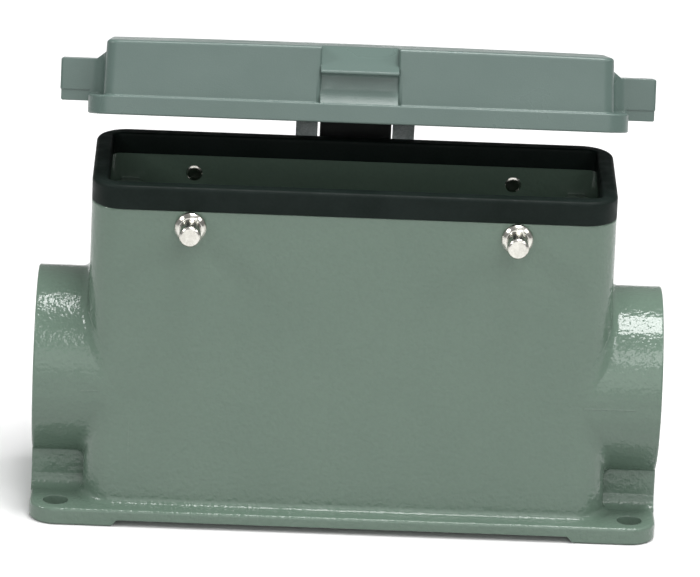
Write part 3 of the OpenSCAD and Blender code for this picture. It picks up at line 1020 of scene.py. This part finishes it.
def buildStrap():
    # bridge across the cover's rear wall, a leg and an eye on each side
    h = hingeParts
    rear, y, z = lid["boxWidth"] / 2, hingeAt.y, hingeAt.z
    back = rear + h["strap"]
    strap = shapeFrom(oblong((rear, seatZ + 8.3), (back, seatZ + 14.0), "x", -h["legOut"], h["legOut"]))
    for side in (-1, 1):
        start, end = sorted((side * h["legIn"], side * h["legOut"]))
        leg = [(rear, seatZ + 13.99), (rear, seatZ + 2.9), (y + 0.9, z + 2.0), (y + 3.2, z + 1.6),
               (back, seatZ + 3.4), (back - 0.01, seatZ + 13.99)]
        add(strap, prism(leg, "x", start, end))
        add(strap, turned([(start, h["strapEye"]), (end, h["strapEye"])], (0, y, z), (1, 0, 0), 48))
    cut(strap, pinHole())
    softenEdges(strap, 0.22, 2, 40)
    finishPiece("hinge_strap", strap, zinc, "cover", ["hinge_stirrup"], openTurn)


def buildArm():
    # plastic arm between the legs, with the barrel that turns on the pin
    h = hingeParts
    rear, y, z = lid["boxWidth"] / 2, hingeAt.y, hingeAt.z
    half, shift = h["blockWidth"] / 2, h["blockShift"]
    outline = [(rear, seatZ + 8.1), (rear, seatZ + 2.6), (y - 4.2, z + 1.5), (y + 4.2, z + 1.5),
               (rear + 4.8, seatZ + 2.0), (rear + 4.8, seatZ + 8.1)]
    arm = shapeFrom(prism(outline, "x", shift - half, shift + half))
    add(arm, turned([(-half, h["barrel"]), (half, h["barrel"])], (shift, y, z), (1, 0, 0), 56))
    cut(arm, pinHole())
    softenEdges(arm, 0.15, 2, 40)
    finishPiece("hinge_arm", arm, blackPlastic, "cover", ["hinge_block"], openTurn)


def buildRivets():
    rear = lid["boxWidth"] / 2
    inner = rear - lid["wall"]
    rivets = []
    for side in (-1, 1):
        for x, height, outer in ((11.4, 11.0, rear + hingeParts["strap"]), (4.0, 5.1, rear + 4.8)):
            profile = [(inner - 0.8, 2.0), (inner - 0.75, 2.25), (inner - 0.3, 2.6), (inner, 2.7),
                       (inner + 0.01, 1.6), (outer - 0.01, 1.6), (outer, 2.7), (outer + 0.2, 2.8),
                       (outer + 0.5, 2.75), (outer + 0.8, 2.4), (outer + 1.0, 1.8), (outer + 1.1, 0.9)]
            rivets.append(turned(profile, (side * x, 0, seatZ + height), (0, 1, 0), 40))
    finishPiece("hinge_rivet_set", shapeFrom(together(*rivets)), nickel, "cover",
                ["hinge_rivets"], openTurn, 30)


def buildBracket():
    # plate on the rear wall with two ears that hold the pin
    h = hingeParts
    y, z = hingeAt.y, hingeAt.z
    wallY, ends = bodyHalf(z)[1], h["earX"] + h["earThick"]
    bracket = shapeFrom(oblong((-ends, z - 12), (ends, z + 8), "y", wallY, wallY + h["plate"]))
    ear = [(wallY, z - 11.99), (wallY + 3, z - 11.99), (y + 3.2, z - 3.3), (y + 2, z + 4.2),
           (wallY + 3, z + 7.99), (wallY, z + 7.99)]
    for side in (-1, 1):
        start, end = sorted((side * h["earX"], side * ends))
        add(bracket, prism(ear, "x", start, end))
        add(bracket, turned([(start, h["earEye"]), (end, h["earEye"])], (0, y, z), (1, 0, 0), 48))
    cut(bracket, pinHole())
    for side in (-1, 1):
        at = (side * h["screwX"], 0, z - h["screwDrop"])
        cut(bracket, turned([(wallY - 1, 1.6), (wallY + 4, 1.6)], at, (0, 1, 0), 32))
    softenEdges(bracket, 0.25, 2, 40)
    finishPiece("hinge_bracket_plate", bracket, zinc, "housing", ["hinge_bracket"])


def buildPin():
    # headed pin with a groove, and the ring snapped into it
    h = hingeParts
    y, z, radius = hingeAt.y, hingeAt.z, hingeParts["pin"]
    ends = h["earX"] + h["earThick"]
    profile = [(-ends - 1.2, 2.6), (-ends - 1.1, 2.95), (-ends - 0.85, 3.15), (-ends - 0.35, 3.2),
               (-ends, 3.1), (-ends + 0.01, radius), (ends + 0.2, radius), (ends + 0.21, 1.5), (ends + 1.09, 1.5),
               (ends + 1.1, radius), (ends + 2.2, radius), (ends + 2.6, radius - 0.35)]
    pin = shapeFrom(turned(profile, (0, y, z), (1, 0, 0), 48))
    finishPiece("hinge_pin_steel", pin, nickel, "housing", ["hinge_pin"], sharpAngle=30)

    ringX = ends + 0.65
    ring = shapeFrom(turned([(ringX - 0.35, h["ring"]), (ringX + 0.35, h["ring"])], (0, y, z), (1, 0, 0), 48))
    cut(ring, turned([(ringX - 2, 1.55), (ringX + 2, 1.55)], (0, y, z), (1, 0, 0), 32))
    cut(ring, oblong((y - 0.9, z - 6), (y + 0.9, z), "x", ringX - 1, ringX + 1))
    softenEdges(ring, 0.08, 1, 40)
    finishPiece("pin_ring", ring, zinc, "housing", ["pin_clip"])


def buildScrews():
    h = hingeParts
    wallY, z = bodyHalf(hingeAt.z)[1], hingeAt.z - h["screwDrop"]
    y0, inner = wallY + h["plate"], wallY - casting["wall"]
    head = [(inner + 0.2, 1.3), (inner + 0.5, 1.55), (y0, 1.55), (y0 + 0.01, 2.7), (y0 + 0.2, 2.9),
            (y0 + 1.3, 2.9), (y0 + 1.8, 2.6), (y0 + 2.1, 2.1), (y0 + 2.2, 1.4)]
    screws = []
    for side in (-1, 1):
        x = side * h["screwX"]
        screw = shapeFrom(turned(head, (x, 0, z), (0, 1, 0), 40))
        for a, b in ((2.0, 0.35), (0.35, 2.0)):
            cut(screw, oblong((x - a, z - b), (x + a, z + b), "y", y0 + 1.0, y0 + 3))
        screws.append(takeBack(screw))
    finishPiece("bracket_screw_pair", shapeFrom(together(*screws)), zinc, "housing",
                ["bracket_screws"], sharpAngle=30)


for makePart in (buildStrap, buildArm, buildRivets, buildBracket, buildPin, buildScrews):
    makePart()
print("hinge built")


# floor, light and camera

studio = dict(
    worldStrength=0.28, floorHalf=8.0, floorBounce=0.46, floorSeen=0.95,
    overhead=dict(at=(0.15, 0.0, 1.15), size=(0.46, 0.50), turn=20, radiance=15.0),
    front=dict(at=(0.42, -1.02, 1.13), size=(1.0, 0.42), radiance=4.0),
    fill=dict(at=(-0.10, -1.9, 0.60), size=(1.8, 1.0), radiance=1.4),
    left=dict(at=(-1.1, -0.40, 0.95), size=(0.35, 0.35), radiance=14.0),
    right=dict(at=(1.1, -0.40, 0.95), size=(0.35, 0.35), radiance=9.0),
)


def buildWorld():
    world = bpy.data.worlds.new("studio")
    bpy.context.scene.world = world
    world.use_nodes = True
    tree = world.node_tree
    tree.nodes.clear()
    plain = place(tree, "Background", -200, 0)
    plain.inputs["Color"].default_value = (1, 1, 1, 1)
    plain.inputs["Strength"].default_value = studio["worldStrength"]
    output = place(tree, "OutputWorld", 100, 0)
    tree.links.new(plain.outputs[0], output.inputs["Surface"])


def buildFloor():
    mesh = bpy.data.meshes.new("floor")
    half = studio["floorHalf"]
    corners = [(-half, -half, 0), (half, -half, 0), (half, half, 0), (-half, half, 0)]
    mesh.from_pydata(corners, [], [(0, 1, 2, 3)])
    floor = bpy.data.objects.new("floor", mesh)
    bpy.context.scene.collection.objects.link(floor)
    floor.location.z = -0.0001
    material = bpy.data.materials.new("white_sweep")
    material.use_nodes = True
    tree = material.node_tree
    tree.nodes.clear()
    # white where it is looked at, straight or mirrored, and a duller tone for the light it sends back
    paths = place(tree, "LightPath", -800, 300)
    rays = paths.outputs
    seen = mathAt(tree, "MAXIMUM", rays["Is Camera Ray"], rays["Is Transmission Ray"], -600, 300)
    seen = mathAt(tree, "MAXIMUM", seen, rays["Is Glossy Ray"], -400, 300)
    dull, bright = studio["floorBounce"], studio["floorSeen"]
    color = mixAt(tree, seen, (dull, dull, dull, 1), (bright, bright, bright, 1), -200, 200)
    matt = place(tree, "BsdfDiffuse", 50, 100)
    tree.links.new(color, matt.inputs["Color"])
    output = place(tree, "OutputMaterial", 300, 100)
    tree.links.new(matt.outputs[0], output.inputs["Surface"])
    mesh.materials.append(material)


def buildLamps():
    for name in ("overhead", "front", "fill", "left", "right"):
        lamp = studio[name]
        data = bpy.data.lights.new(name + "_softbox", "AREA")
        data.shape = "RECTANGLE"
        data.size, data.size_y = lamp["size"]
        data.energy = lamp["radiance"] * math.pi * data.size * data.size_y
        light = bpy.data.objects.new(name + "_softbox", data)
        light.location = lamp["at"]
        if "turn" in lamp:  # hangs level, turned a little about the upright
            light.rotation_euler = (0, 0, math.radians(lamp["turn"]))
        else:
            aim = Vector((0, 0, 0.05)) - Vector(lamp["at"])
            light.rotation_euler = aim.to_track_quat("-Z", "Y").to_euler()
        bpy.context.scene.collection.objects.link(light)


def buildStudio():
    buildWorld()
    buildFloor()
    buildLamps()


buildStudio()

viewpoint = dict(
    target=(-0.0752, 0.0, 50.868), distance=1500.0, elevation=19.1547, yaw=0.8344, roll=2.3939, lens=332.98,
)


def buildCamera():
    v = viewpoint
    elevation, yaw, roll = (math.radians(v[key]) for key in ("elevation", "yaw", "roll"))
    level = math.cos(elevation)
    forward = Vector((math.sin(yaw) * level, math.cos(yaw) * level, -math.sin(elevation)))
    right = Vector((math.cos(yaw), -math.sin(yaw), 0))
    up = right.cross(forward)
    imageRight = right * math.cos(roll) + up * math.sin(roll)
    imageUp = up * math.cos(roll) - right * math.sin(roll)
    turn = Matrix((imageRight, imageUp, -forward)).transposed().to_4x4()
    data = bpy.data.cameras.new("camera")
    data.sensor_width = 36
    data.lens = v["lens"]
    data.clip_end = 50
    camera = bpy.data.objects.new("camera", data)
    camera.matrix_world = Matrix.Translation((Vector(v["target"]) - forward * v["distance"]) * mm) @ turn
    bpy.context.scene.collection.objects.link(camera)
    bpy.context.scene.camera = camera


buildCamera()
bpy.context.scene.view_settings.view_transform = "Standard"
print("studio set")
